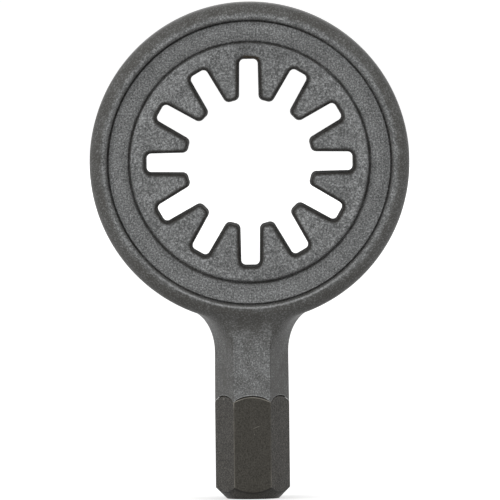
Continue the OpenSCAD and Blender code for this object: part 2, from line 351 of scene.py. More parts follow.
def rim_surface(s, turn, along):
    """A point of the rim's outside, from its angle about the head's axis and its distance along the section.

    The distance is counted from the parting plane. Up to the wall's edge the section is straight, and from
    there it is a circle of the outer rounding, so the point is the circle's centre plus the rounding times
    (cos, sin) of the rest of the distance over the rounding. The unit normal comes with it."""
    q = s.rim_outer_r
    wall = s.rim_half - q
    bend = np.maximum(np.abs(along) - wall, 0) / q
    r = s.head_r - q + q * np.cos(bend)
    y = np.sign(along) * (np.minimum(np.abs(along), wall) + q * np.sin(bend))
    point = np.stack([r * np.sin(turn), y, -r * np.cos(turn)], axis=-1)
    normal = np.stack(
        [np.cos(bend) * np.sin(turn), np.sign(along) * np.sin(bend), -np.cos(bend) * np.cos(turn)], axis=-1)
    return point, normal


def hexagon_lines(arc_steps):
    """Corner directions D and outward normals N round a rounded hexagon, from the middle of its front.

    Along a corner's arc only N turns; along a flat N stays and D runs straight to the next corner."""
    turn = np.concatenate([HEX_TURN * (m + np.linspace(0, 1, arc_steps + 1)) for m in range(6)])
    corner = np.repeat(HEX_TURN * (np.arange(6) + 0.5), arc_steps + 1)
    d = np.stack([np.sin(corner), -np.cos(corner)], axis=-1)
    n = np.stack([np.sin(turn), -np.cos(turn)], axis=-1)
    middle_d = (d[:1] + d[-1:]) / 2
    return np.concatenate([middle_d, d, middle_d]), np.concatenate([n[:1], n, n[:1]])


def hexagon(half, corner_r, d, n, off=0.0):
    """Outline of a rounded hexagon, moved outwards by off: (a - r) D / cos 30 + (r + off) N.

    Here a is the half width and r the corner radius."""
    return (half - corner_r) / HEX_SLANT * d + (corner_r + off) * n


def spread(values, marks, wanted):
    """Each column of values, which stand at the marks, read at the wanted places by straight lines."""
    return np.stack([np.interp(wanted, marks, column) for column in values.T], axis=-1)


def marks_along(points):
    """Distance along a line of points, from its first."""
    return np.concatenate([[0], np.cumsum(np.linalg.norm(np.diff(points, axis=0), axis=1))])


def put_in_scene(name, data):
    """A new object with this data, in the scene and at the origin."""
    thing = bpy.data.objects.new(name, data)
    bpy.context.scene.collection.objects.link(thing)
    return thing


class Mesh:
    """Points, quads and triangles that add up to one closed surface, with named weights on the points."""

    def __init__(self):
        self.points, self.quads, self.tris, self.weights, self.count = [], [], [], [], 0

    def add(self, points, weights):
        """Adds points of any grid shape and returns their numbers in that shape."""
        shape = points.shape[:-1]
        self.points.append(points.reshape(-1, 3))
        self.weights.append(np.broadcast_to(weights, shape + (len(WEIGHTS),)).reshape(-1, len(WEIGHTS)))
        numbers = np.arange(self.count, self.count + int(np.prod(shape))).reshape(shape)
        self.count += numbers.size
        return numbers

    def strips(self, rows, keep=None):
        """Quads between each row of numbers and the next, round and round."""
        low, high = rows[:-1], rows[1:]
        quads = np.stack([low, np.roll(low, -1, 1), np.roll(high, -1, 1), high], axis=-1)
        self.quads.append(quads[keep] if keep is not None else quads.reshape(-1, 4))

    def fan(self, ring, centre):
        """Triangles from a ring to one point."""
        self.tris.append(np.stack([ring, np.roll(ring, -1), np.full_like(ring, int(centre))], axis=-1))

    def build(self, name):
        """The finished object: unused points go, faces are turned outwards by the sign of the volume."""
        points = np.concatenate(self.points)
        weights = np.concatenate(self.weights)
        quads = np.concatenate(self.quads)
        tris = np.concatenate(self.tris)
        used, order = np.unique(np.concatenate([quads.ravel(), tris.ravel()]), return_inverse=True)
        points, weights = points[used], weights[used]
        quads, tris = order[:quads.size].reshape(-1, 4), order[quads.size:].reshape(-1, 3)
        halves = np.concatenate([quads[:, [0, 1, 2]], quads[:, [0, 2, 3]], tris])
        a, b, c = (points[halves[:, i]] for i in range(3))
        if np.einsum("ij,ij->", a, np.cross(b, c)) < 0:
            quads, tris = quads[:, ::-1], tris[:, ::-1]
        mesh = bpy.data.meshes.new(name)
        mesh.vertices.add(len(points))
        mesh.vertices.foreach_set("co", points.astype(np.float32).ravel())
        loops = np.concatenate([quads.ravel(), tris.ravel()]).astype(np.int32)
        mesh.loops.add(len(loops))
        mesh.loops.foreach_set("vertex_index", loops)
        starts = np.concatenate([4 * np.arange(len(quads)), 4 * len(quads) + 3 * np.arange(len(tris))])
        mesh.polygons.add(len(starts))
        mesh.polygons.foreach_set("loop_start", starts.astype(np.int32))
        mesh.polygons.foreach_set("use_smooth", np.ones(len(starts), bool))
        mesh.update(calc_edges=True)
        if mesh.validate():
            raise RuntimeError(f"{name}: the mesh had faults")
        for i, weight in enumerate(WEIGHTS):
            layer = mesh.attributes.new(weight, "FLOAT", "POINT")
            layer.data.foreach_set("value", weights[:, i].astype(np.float32))
        return put_in_scene(name, mesh)


def disc_weights(turn):
    """Weights of the head's front rows, for columns at these angles from the neck.

    Over a band of rows grain and painted shade go in straight lines from their first values to their last;
    the painted shade darkens the star's walls, the grooves, the channel beside them and the rim's inner
    side. Over the star's edge grain grows with the fourth power of the way, and the painted shade fades
    with a power of it. Near the neck the rim has less grain and more painted shade, and a painted
    highlight inside its crest."""
    def band(rows, grain, crevice):
        """Grain and painted shade over so many rows."""
        return np.linspace(*grain, rows), np.linspace(*crevice, rows)

    edge = np.linspace(0, 1, STAR_EDGE_ROWS)
    groove = band(2 * FOOT_ROWS, (0.3, 0.3), (0.36, 0.36))
    slope_rows = RIM_OUT_ROWS - len(CREST_GRAIN) + RIM_WALL_ROWS
    grain, crevice = (np.concatenate(rows) for rows in zip(
        band(STAR_WALL_ROWS, (0.1, 0.1), (0.7, 0.7)),
        (0.1 + 0.9 * edge ** 4, 0.78 * (1 - edge ** 2.4)),
        band(PLATE_ROWS + PLATE_EDGE_ROWS, (1, 1), (0, 0)),
        groove,
        band(CHANNEL_IN_ROWS, (0.4, 1), (0.25, 0.17)),
        band(len(CHANNEL_SHARES), (1, 1), (0.15, 0)),
        band(CHANNEL_OUT_ROWS, (1, 0.6), (0, 0.1)),
        groove,
        band(RIM_IN_ROWS, (0.4, 1), (0.2, 0)),
        (CREST_GRAIN, 0 * CREST_GRAIN),
        band(slope_rows, (0.1, 0.1), (0, 0))))
    weights = np.zeros((len(grain), len(turn), len(WEIGHTS)))
    weights[..., GRAIN] = grain[:, None]
    weights[..., SHADE_AND_DIRT] = crevice[:, None]

    # Painted shading near the neck, where the head's bottom turns from the light above: less grain and more
    # painted shade on the rim and the plate's edge, and a painted highlight inside the crest. Away from the
    # neck the crest has a faint painted highlight.
    bottom_shading = ramp(np.minimum(turn, 2 * math.pi - turn), BOTTOM_SHADING_END, -BOTTOM_SHADING_FADE)
    plate_edge = STAR_WALL_ROWS + STAR_EDGE_ROWS + PLATE_ROWS
    crest = len(grain) - RIM_OUT_ROWS - RIM_WALL_ROWS
    shade_and_pit = np.linspace(0, 0.35, PLATE_EDGE_ROWS)[:, None]
    weights[crest - RIM_IN_ROWS + 1:, :, GRAIN] *= 1 - 0.7 * bottom_shading
    weights[crest:, :, SHADE_AND_DIRT] += 0.2 * bottom_shading
    weights[plate_edge:plate_edge + PLATE_EDGE_ROWS, :, SHADE_AND_DIRT] += shade_and_pit * bottom_shading
    weights[crest - 1:crest + 1, :, WEAR_AND_HIGHLIGHT] = 0.06 * (1 - bottom_shading)
    weights[crest - 3:crest - 1, :, WEAR_AND_HIGHLIGHT] = 0.6 * bottom_shading
    return weights


def disc_front(s):
    """The head's front half as rows of points, from the star's wall on the parting plane to the rim's wall.

    Columns follow the star's outline. Rows are first the outline at growing depths, then straight lines
    from the outline to the plate's circle, then circles whose radius and depth follow the rounded section
    of plate, channel and rim. Returns points, weights, and each row's distance along the rim's outside."""
    plate_half = s.channel_half + s.plate_rise
    wall = plate_half - s.star_edge_r
    out = wall * math.tan(s.star_draft)
    a = np.linspace(0, math.pi / 2, STAR_EDGE_ROWS)
    depth = np.concatenate(
        [np.linspace(0, wall, STAR_WALL_ROWS + 1)[:-1], wall + s.star_edge_r * np.sin(a)])
    grow = np.concatenate(
        [np.linspace(0, out, STAR_WALL_ROWS + 1)[:-1], out + s.star_edge_r * (1 - np.cos(a))])
    u, v = slot_half(s, grow[:, None])
    u = np.concatenate([u[:, -2:0:-1], u], axis=1)[:, None]
    v = np.concatenate([-v[:, -2:0:-1], v], axis=1)[:, None]
    slot = (np.arange(s.slot_count) * 2 * math.pi / s.slot_count)[:, None]
    first = (u.shape[-1] - 2) // 2
    star_x = np.roll((u * np.sin(slot) + v * np.cos(slot)).reshape(len(grow), -1), -first, 1)
    star_z = np.roll((v * np.sin(slot) - u * np.cos(slot)).reshape(len(grow), -1), -first, 1)
    columns = star_x.shape[1]
    turn = np.arange(columns) * 2 * math.pi / columns

    rim_in = s.head_r - s.rim_w
    plate_r = rim_in - s.channel_w
    near, far = plate_r + s.foot_w, rim_in - s.foot_w
    floor = s.channel_half - s.foot_depth
    r, h = rounded_profile(
        [(0, plate_half), (plate_r, plate_half), (plate_r, floor), (near, floor), (near, s.channel_half),
         (far, s.channel_half), (far, floor), (rim_in, floor), (rim_in, s.rim_half), (s.head_r, s.rim_half),
         (s.head_r, 0)],
        [s.plate_edge_r, s.foot_r, s.foot_r, s.channel_in_r, s.channel_out_r, s.foot_r, s.foot_r,
         s.rim_inner_r, s.rim_outer_r],
        [PLATE_EDGE_ROWS, FOOT_ROWS, FOOT_ROWS, CHANNEL_IN_ROWS, CHANNEL_OUT_ROWS, FOOT_ROWS, FOOT_ROWS,
         RIM_IN_ROWS, RIM_OUT_ROWS]).T
    at = PLATE_EDGE_ROWS + 2 * FOOT_ROWS + CHANNEL_IN_ROWS
    r = np.insert(r, at, r[at - 1] + CHANNEL_SHARES * (r[at] - r[at - 1]))
    h = np.insert(h, at, np.full(len(CHANNEL_SHARES), s.channel_half))
    wall_h = (s.rim_half - s.rim_outer_r) * np.linspace(1, 0, RIM_WALL_ROWS + 1)[1:]
    r = np.concatenate([r, np.full(RIM_WALL_ROWS, s.head_r)])
    h = np.concatenate([depth, np.full(PLATE_ROWS, plate_half), h, wall_h])
    circle_x = r[:, None] * np.sin(turn)
    circle_z = -r[:, None] * np.cos(turn)
    f = np.linspace(0, 1, PLATE_ROWS + 2)[1:-1, None]
    x = np.concatenate([star_x, star_x[-1] + f * (circle_x[0] - star_x[-1]), circle_x])
    z = np.concatenate([star_z, star_z[-1] + f * (circle_z[0] - star_z[-1]), circle_z])
    points = np.stack([x, np.broadcast_to(-h[:, None], x.shape), z], axis=-1)

    rounding = s.rim_outer_r * np.linspace(math.pi / 2, 0, RIM_OUT_ROWS)
    inside = np.full(len(h) - RIM_OUT_ROWS - RIM_WALL_ROWS, -1.0)
    along = np.concatenate([inside, s.rim_half - s.rim_outer_r + rounding, wall_h])
    return points, disc_weights(turn), along


def ball_touch(s, o):
    """Where the neck's ball, its centre over o (x, y), touches the rim's outside, and its centre's height.

    Beside the rim's wall the centre stands at the head's radius plus the ball's from the head's axis; past
    the wall's edge it stands on a circle about the rounding's centre, whose radius is the rounding plus the
    ball's radius."""
    q = s.rim_outer_r
    wall = s.rim_half - q
    past = np.maximum(np.abs(o[:, 1]) - wall, 0)
    out = np.sqrt((q + s.neck_fillet_r) ** 2 - past ** 2)
    r = s.head_r - q + out
    z = -np.sqrt(r ** 2 - o[:, 0] ** 2)
    along = np.sign(o[:, 1]) * (np.minimum(np.abs(o[:, 1]), wall) + q * np.arctan2(past, out))
    return np.arctan2(o[:, 0], -z), along, z


def neck_lines(s, half, edge_turn, edge_along):
    """Lines D and N of the stem's hexagon, one for each point of the window's edge.

    The places where the rolling ball touches the rim form a closed curve in the window. Seen from the
    window's middle, with the window stretched to a square, each point of the edge takes the line of the
    hexagon whose touch lies in the point's own direction."""
    d, n = hexagon_lines(NECK_ARC_STEPS)
    marks = marks_along(hexagon(half, s.stem_corner_r, d, n, s.neck_fillet_r))
    fine = np.linspace(0, marks[-1], NECK_PLACES)
    fine_d, fine_n = spread(d, marks, fine), spread(n, marks, fine)
    touch_turn, touch_along, _ = ball_touch(
        s, hexagon(half, s.stem_corner_r, fine_d, fine_n, s.neck_fillet_r))

    def direction(turn, along):
        """Angle of a point of the rim about the window's middle."""
        return np.arctan2(turn / edge_turn.max(), -along / edge_along.max())

    touch_way = np.unwrap(direction(touch_turn, touch_along))
    edge_way = direction(edge_turn, edge_along)
    edge_way = np.where(edge_way < touch_way[0], edge_way + 2 * math.pi, edge_way)
    place = np.interp(edge_way, touch_way, fine)
    d, n = spread(d, marks, place), spread(n, marks, place)
    return d, n / np.linalg.norm(n, axis=1, keepdims=True)


def roll_neck(s, half, d, n, edge_turn, edge_along):
    """The neck: rows on the rim up to the ball's touch, rows over the fillet, and the fillet's foot.

    A ball of the fillet's radius rolls round the stem and touches the rim; its centre O stands the radius off
    the stem's outline, at the height where it also stands the radius off the rim. The fillet is the conic
    from the ball's touch on the rim to its touch on the stem, drawn down a little, with the point where both
    tangents meet for its corner; undrawn it would be the ball's own arc."""
    k = s.neck_fillet_r
    o = hexagon(half, s.stem_corner_r, d, n, k)
    touch_turn, touch_along, ball_z = ball_touch(s, o)
    f = np.linspace(0, 1, PATCH_ROWS + 1)[1:, None]
    patch, _ = rim_surface(
        s, edge_turn + f * (touch_turn - edge_turn), edge_along + f * (touch_along - edge_along))
    _, rim_n = rim_surface(s, touch_turn, touch_along)
    stem_n = np.concatenate([n, np.zeros((len(n), 1))], axis=1)
    meet = np.sum(rim_n * stem_n, axis=1, keepdims=True)
    ball = np.stack([o[:, 0], o[:, 1], ball_z], axis=-1)
    corner = ball - k * (rim_n + stem_n) / (1 + meet)
    foot = ball - k * stem_n
    foot[:, 2] -= s.neck_draw * (DRAW_FRONT + (1 - DRAW_FRONT) * np.abs(n[:, 0]))
    f = np.linspace(0, 1, FILLET_ROWS + 1)[1:, None, None]
    pull = 2 * f * (1 - f) * np.sqrt((1 + meet) / 2)
    fillet = (1 - f) ** 2 * (ball - k * rim_n) + pull * corner + f ** 2 * foot
    return patch, fillet / ((1 - f) ** 2 + pull + f ** 2), foot


def bore_rows(s, b, ray):
    """The blind bore round the anchor: circles on these rays, the seam's gap clear of the bit's section."""
    ledge_r = b.anchor_d / 2 + b.anchor_ledge
    ledge_z = b.hex_len + b.half / HEX_SLANT - ledge_r - s.head_z + s.seam_gap
    top_z = b.anchor_top + s.seam_gap - s.head_z
    bore_r = b.anchor_d / 2 + s.seam_gap
    groove_r = bore_r - b.groove_depth
    middle = (b.anchor_top - s.head_z + ledge_z - s.seam_gap) / 2
    reach = b.groove_w / 2 - s.seam_gap
    section = np.array([
        (ledge_r + s.seam_gap * (math.sqrt(2) - 1), ledge_z), (bore_r, ledge_z), (bore_r, middle - reach),
        (groove_r, middle - reach), (groove_r, middle + reach), (bore_r, middle + reach), (bore_r, top_z)])
    heights = np.broadcast_to(section[:, 1:, None], (len(section), len(ray), 1))
    return np.concatenate([section[:, :1, None] * ray, heights], axis=-1)


def build_head(s, b):
    """The moulding as one closed surface.

    Disc: the front rows and their mirror image, a closed section carried round the head's axis, with a window
    left open in the rim at the stem. Neck: the rolled surface from the window's edge to the stem. Stem: the
    hexagon's outline from there down to the shoulder's cone, with a lip round its end. Inside: the cone, the
    ledge and the bore round the anchor. Heights count from the head's axis until the end."""
    made = Mesh()
    front, weights, along = disc_front(s)
    rows, columns = front.shape[:2]
    back = front[-2:0:-1] * np.array([1, -1, 1])
    grid = made.add(np.concatenate([front, back]), np.concatenate([weights, weights[-2:0:-1]]))
    closed = np.concatenate([grid, grid[:1]])
    step = 2 * math.pi / columns
    reach = int(WINDOW_TURN / step)
    top = rows - WINDOW_ROWS
    bottom = 2 * (rows - 1) - top
    window = np.arange(-reach, reach + 1)
    keep = np.ones((len(closed) - 1, columns), bool)
    keep[top:bottom, window[:-1]] = False
    made.strips(closed, keep)

    down = np.arange(top, bottom + 1)
    loop_c = np.concatenate(
        [window, np.full(len(down) - 1, reach), window[-2::-1], np.full(len(down) - 2, -reach)])
    loop_r = np.concatenate(
        [np.full(len(window), top), down[1:], np.full(len(window) - 1, bottom), down[-2:0:-1]])
    edge_turn = loop_c * step
    edge_along = np.concatenate([-along, along[-2::-1]])[loop_r]
    half = b.half - s.waist_inset
    d, n = neck_lines(s, half, edge_turn, edge_along)
    patch, fillet, foot = roll_neck(s, half, d, n, edge_turn, edge_along)

    # Finish: the neck is a smooth dark skin with painted shade in its middle, grainier towards its sides,
    # where a painted sheen makes it paler. The stem's front and back are grainier than its slanted sides,
    # and its right edge at the front is dirty.
    side = ramp(np.abs(d[:, 0]), 0.3, 0.7) ** 1.5
    skin = np.stack([0.05 + 0.3 * side, 0.2 * (1 - side), 0.17 * side], axis=-1)
    facing = ramp(np.abs(n[:, 1]), 0.9, 0.08)
    right_edge = (np.abs(n[:, 0] - 0.5) < 0.3) * (n[:, 1] < 0)
    stem = np.stack([0.22 + 0.48 * facing, 0.2 * right_edge, 0 * facing], axis=-1)

    def dress(z):
        """Weights at a height: the neck's skin, which passes into the stem's faces further down."""
        fall = foot[:, 2] - z + SKIN_BOW * (foot[:, 0] / b.half) ** 2
        return skin + np.clip(SKIN_FOOT + fall / SKIN_FADE, 0, 1)[..., None] * (stem - skin)

    f = np.linspace(0, 1, PATCH_ROWS)[:, None, None]
    rings = [
        grid[loop_r, loop_c % columns][None],
        made.add(patch, RIM_SKIN + f * (skin - RIM_SKIN)),
        made.add(fillet, dress(fillet[..., 2]))]

    flat = ramp(np.linalg.norm(d, axis=1), 1, -0.06)
    lip = (LIP_CORNER + LIP_GAIN * flat) * MM
    cone_top = b.hex_len + b.half / HEX_SLANT + s.seam_gap * math.sqrt(2) - s.head_z
    cone_top = cone_top - SEAM_CLOSING * s.seam_gap * (1 - flat)
    seam_z = cone_top - np.linalg.norm(hexagon(b.half, s.stem_corner_r, d, n), axis=1)
    stem_half = half + STEM_SHARES * (b.half - half)
    stem_xy = hexagon(stem_half[..., None], s.stem_corner_r, d, n)
    stem_z = foot[:, 2] + STEM_SHARES * (seam_z + lip - foot[:, 2])
    weights = dress(stem_z)
    # Painted highlight: the stem's last ring is paler.
    weights[-1, :, WEAR_AND_HIGHLIGHT] = 0.9
    rings.append(made.add(np.concatenate([stem_xy, stem_z[..., None]], axis=-1), weights))
    lip_xy = hexagon(b.half - (LIP_IN * lip)[..., None], s.stem_corner_r, d, n)
    lip_z = cone_top - np.linalg.norm(lip_xy, axis=-1) + LIP_UP * lip
    rings.append(made.add(np.concatenate([lip_xy, lip_z[..., None]], axis=-1), SEAM_SHADE))

    bore = bore_rows(s, b, lip_xy[-1] / np.linalg.norm(lip_xy[-1], axis=-1, keepdims=True))
    rings.append(made.add(bore, SEAM_SHADE))
    made.strips(np.concatenate(rings))
    made.fan(rings[-1][-1], made.add(np.array([0.0, 0.0, bore[-1, 0, 2]]), SEAM_SHADE))
    made.points = [p + np.array([0, 0, s.head_z]) for p in made.points]
    return made.build("moulded_head")


def build_bit(b):
    """The steel bit as one closed surface: a rounded hexagon's outline carried up the drive axis.

    The end chamfer and the shoulder are 45 degree cones, so on a line of the outline that stands r from the
    axis they end at heights that go up and down with r, which draws their scalloped edges. Over the shoulder
    the outline is a circle whose radius a cosine wave ripples into the knurl."""
    made = Mesh()
    d, n = hexagon_lines(BIT_ARC_STEPS)
    marks = marks_along(hexagon(b.half, b.corner_r, d, n))
    flat = np.nonzero(np.diff(marks) > 5 * b.corner_r)[0]
    extra = np.concatenate([marks[f] + FLAT_SHARES * (marks[f + 1] - marks[f]) for f in flat])
    place = np.sort(np.concatenate([marks[:-1], extra]))
    d, n = spread(d, marks, place), spread(n, marks, place)
    n /= np.linalg.norm(n, axis=1, keepdims=True)
    corner = ramp(np.linalg.norm(d, axis=1), 0.997, 0.003)
    side = ramp(np.abs(n[:, 0]), 0.3, 0.2)
    xy = hexagon(b.half, b.corner_r, d, n)
    r = np.linalg.norm(xy, axis=1)
    ray = xy / r[:, None]
    rows, weights = [], []

    def row(radius, z, shade_and_pit=0.0, wear=0.0):
        """One more row up the bit, a circle or a line that goes out and in with its radius, and weights."""
        radius, z, shade_and_pit, wear = (np.broadcast_to(value, r.shape) for value in (radius, z, shade_and_pit, wear))
        rows.append(np.concatenate([radius[:, None] * ray, z[:, None]], axis=1))
        weights.append(np.stack([side, shade_and_pit, wear], axis=-1))

    corner_r = b.half / HEX_SLANT
    end_r = corner_r - b.end_chamfer
    low = r - end_r
    high = b.hex_len + corner_r - r
    e = b.edge_r
    t = math.tan(BEVEL / 2)
    bend = np.linspace(0, BEVEL, EDGE_ROWS)
    row(end_r * 0.5, 0)
    row(end_r - 2 * e, 0)
    # Painted shade along the free end's edge, up the chamfer and along the chamfer's top edge.
    for a in bend:
        row(end_r - e * t + e * math.sin(a), e * (1 - math.cos(a)), EDGE_SHADE)
    for f, shade_and_pit in CHAMFER_SHADE:
        row(end_r + f * (r - end_r), f * low, shade_and_pit)
    for a in BEVEL + bend:
        row(r - e * (1 - math.sin(a)), low + e * t - e * math.cos(a), EDGE_SHADE)

    # Wear on the two corner edges at the front: the left one is rubbed, most at its ends, and the right one
    # is scraped near its foot.
    rubbed_and_highlight = corner * (ray[:, 0] < 0) * (ray[:, 1] < 0)
    scraped = corner * (ray[:, 0] > 0) * (ray[:, 1] < 0)
    for f in HEX_SHARES:
        left = 0.14 + 0.6 * f ** 16 + 0.2 * math.exp(-(f / 0.1) ** 2)
        right = 0.02 + 0.25 * math.exp(-((f - 0.08) / 0.09) ** 2)
        row(r, low + e + f * (high - low - 2 * e), wear=0.1 * corner + rubbed_and_highlight * left + scraped * right)
    shoulder = 0.1 + 0.9 * ramp(np.abs(n[:, 1]), 0.5, 0.5)
    for a in bend:
        row(r - 2 * e * (1 - math.cos(a)), high - 2 * e * t + 2 * e * math.sin(a),
            wear=shoulder * math.cos(2 * a))

    anchor_r = b.anchor_d / 2
    ledge_r = anchor_r + b.anchor_ledge
    ledge_z = b.hex_len + corner_r - ledge_r
    turn = np.arctan2(ray[:, 0], ray[:, 1])
    ridge = anchor_r - b.knurl_depth * (0.5 - 0.5 * np.cos(b.knurl_count * turn))
    groove_r = anchor_r - b.groove_depth
    middle = (ledge_z + b.anchor_top) / 2
    groove_low, groove_high = middle - b.groove_w / 2, middle + b.groove_w / 2
    cut = 3 * e
    for radius, z in (
            ((r + ledge_r) / 2, (high + ledge_z) / 2), (ledge_r, ledge_z), (ridge, ledge_z),
            (ridge, groove_low), (groove_r, groove_low), (groove_r, groove_high), (ridge, groove_high),
            (ridge, b.anchor_top - cut), (ridge - cut, b.anchor_top)):
        row(radius, z)
    numbers = made.add(np.stack(rows), np.stack(weights))
    made.strips(numbers)
    made.fan(numbers[0][::-1], made.add(np.array([0.0, 0.0, 0.0]), (0, 0, 0)))
    made.fan(numbers[-1], made.add(np.array([0.0, 0.0, b.anchor_top]), (0, 0, 0)))
    return made.build("hexagon_bit")


class Nodes:
    """A node tree that is filled in reading order."""

    def __init__(self, tree):
        self.tree = tree
        tree.nodes.clear()

    def add(self, kind, inputs=(), **settings):
        """A node with its settings, and its inputs by name or number: a value, or another node's output."""
        node = self.tree.nodes.new(kind)
        node.location = (220 * len(self.tree.nodes), 0)
        for name, value in settings.items():
            setattr(node, name, value)
        for name, value in dict(inputs).items():
            if isinstance(value, bpy.types.NodeSocket):
                self.tree.links.new(value, node.inputs[name])
            else:
                node.inputs[name].default_value = value
        return node

    def math(self, operation, a, b, clamp=False):
        """Two values put together."""
        return self.add("ShaderNodeMath", {0: a, 1: b}, operation=operation, use_clamp=clamp).outputs[0]

    def blend(self, share, a, b, how="MIX"):
        """Two colours put together."""
        node = self.add("ShaderNodeMix", {0: share, 6: a, 7: b}, data_type="RGBA", blend_type=how)
        return node.outputs[2]

    def span(self, value, low, high, to_low=0.0, to_high=1.0):
        """A value carried from one span to another, and held at its ends."""
        node = self.add("ShaderNodeMapRange", {0: value, 1: low, 2: high, 3: to_low, 4: to_high})
        return node.outputs[0]

    def vector(self, operation, inputs, output="Vector"):
        """Vectors put together, or the measure of one."""
        return self.add("ShaderNodeVectorMath", inputs, operation=operation).outputs[output]

    def noise(self, place, scale, detail, roughness):
        """A noise over these places."""
        return self.add("ShaderNodeTexNoise", {
            "Vector": place, "Scale": scale, "Detail": detail, "Roughness": roughness}).outputs[0]

    def spot(self):
        """Where a point lies, in metres."""
        return self.add("ShaderNodeTexCoord").outputs["Object"]

    def mark(self, place, lean, size, strength, base=0.0):
        """A small mark on the front, as in the list of marks; its height counts from the base, in metres.

        Along the mark's own two directions it has its strength up to three tenths of the size from the middle
        and fades to nothing at half of it."""
        own = self.add("ShaderNodeMapping", {
            "Vector": self.spot(), "Location": (place[0] * MM, 0.0, base + place[1] * MM),
            "Rotation": (0.0, -math.radians(lean), 0.0)}, vector_type="TEXTURE").outputs[0]
        parts = self.add("ShaderNodeSeparateXYZ", {0: own}).outputs
        along, across = (self.math("ABSOLUTE", parts[i], 0.0) for i in (0, 2))
        inside = [self.span(value, 0.3 * full * MM, 0.5 * full * MM, 1.0, 0.0)
                  for value, full in zip((along, across), size)]
        front = self.math("LESS_THAN", parts[1], 0.0)
        shape = self.math("MULTIPLY", front, self.math("MULTIPLY", *inside))
        return self.math("MULTIPLY", shape, strength)

    def streaks(self, height, turns, fineness, start):
        """Streaks round the axis that lies along Y at this height, and the distance from that axis.

        A noise over the direction from the axis, slow, and over the distance, fast, from nothing to one."""
        parts = self.add("ShaderNodeSeparateXYZ", {0: self.spot()}).outputs
        up = self.math("SUBTRACT", parts[2], height)
        arm = self.add("ShaderNodeCombineXYZ", {0: parts[0], 2: up}).outputs[0]
        away = self.vector("LENGTH", {0: arm}, "Value")
        slow = self.vector("SCALE", {0: self.vector("NORMALIZE", {0: arm}), "Scale": turns})
        run = self.math("ADD", start, self.math("MULTIPLY", away, fineness))
        fast = self.add("ShaderNodeCombineXYZ", {1: run}).outputs[0]
        noise = self.noise(self.vector("ADD", {0: slow, 1: fast}), 1.0, 3.0, 0.7)
        return self.span(noise, 0.3, 0.7), away

    def speckle(self, speck_scale, cloud_scale):
        """Specks, pits and clouds of the shared effect, at these scales."""
        inputs = {"Speck Scale": speck_scale, "Cloud Scale": cloud_scale}
        return self.add("ShaderNodeGroup", inputs, node_tree=speckle_group()).outputs

    def surface(self, colour, rough, height, strength, depth, gloss):
        """The material's end: one shader with a colour, a roughness and a relief."""
        bump = self.add("ShaderNodeBump", {"Strength": strength, "Distance": depth, "Height": height})
        shader = self.add("ShaderNodeBsdfPrincipled", {
            "Base Color": colour, "Roughness": rough, "Normal": bump.outputs[0], "IOR": 1.5,
            "Specular IOR Level": gloss})
        self.add("ShaderNodeOutputMaterial", {"Surface": shader.outputs[0]})

    def weight(self, name):
        """One of the mesh's own weights."""
        return self.add("ShaderNodeAttribute", attribute_name=name).outputs["Fac"]


def speckle_group():
    """Shared effect: fine specks, sparse pits, and slow clouds for unevenness, each from nothing to one."""
    group = bpy.data.node_groups.get("fine_speckle")
    if group:
        return group
    group = bpy.data.node_groups.new("fine_speckle", "ShaderNodeTree")
    for way, names in (("INPUT", ("Speck Scale", "Cloud Scale")), ("OUTPUT", ("Specks", "Pits", "Clouds"))):
        for name in names:
            group.interface.new_socket(name, in_out=way, socket_type="NodeSocketFloat")
    n = Nodes(group)
    scales = n.add("NodeGroupInput").outputs
    place = n.spot()
    fine = n.noise(place, scales["Speck Scale"], 2.0, 0.8)
    pits = n.noise(n.vector("ADD", {0: place, 1: PIT_SHIFT}), scales["Speck Scale"], 1.0, 0.5)
    clouds = n.noise(place, scales["Cloud Scale"], 3.0, 0.55)
    n.add("NodeGroupOutput", {
        "Specks": n.span(fine, 0.32, 0.68), "Pits": n.span(pits, 0.55, 0.75),
        "Clouds": n.span(clouds, 0.3, 0.7)})
    return group


def new_material(name):
    """A material without nodes, and its node tree to fill."""
    material = bpy.data.materials.new(name)
    material.use_nodes = True
    return material, Nodes(material.node_tree)


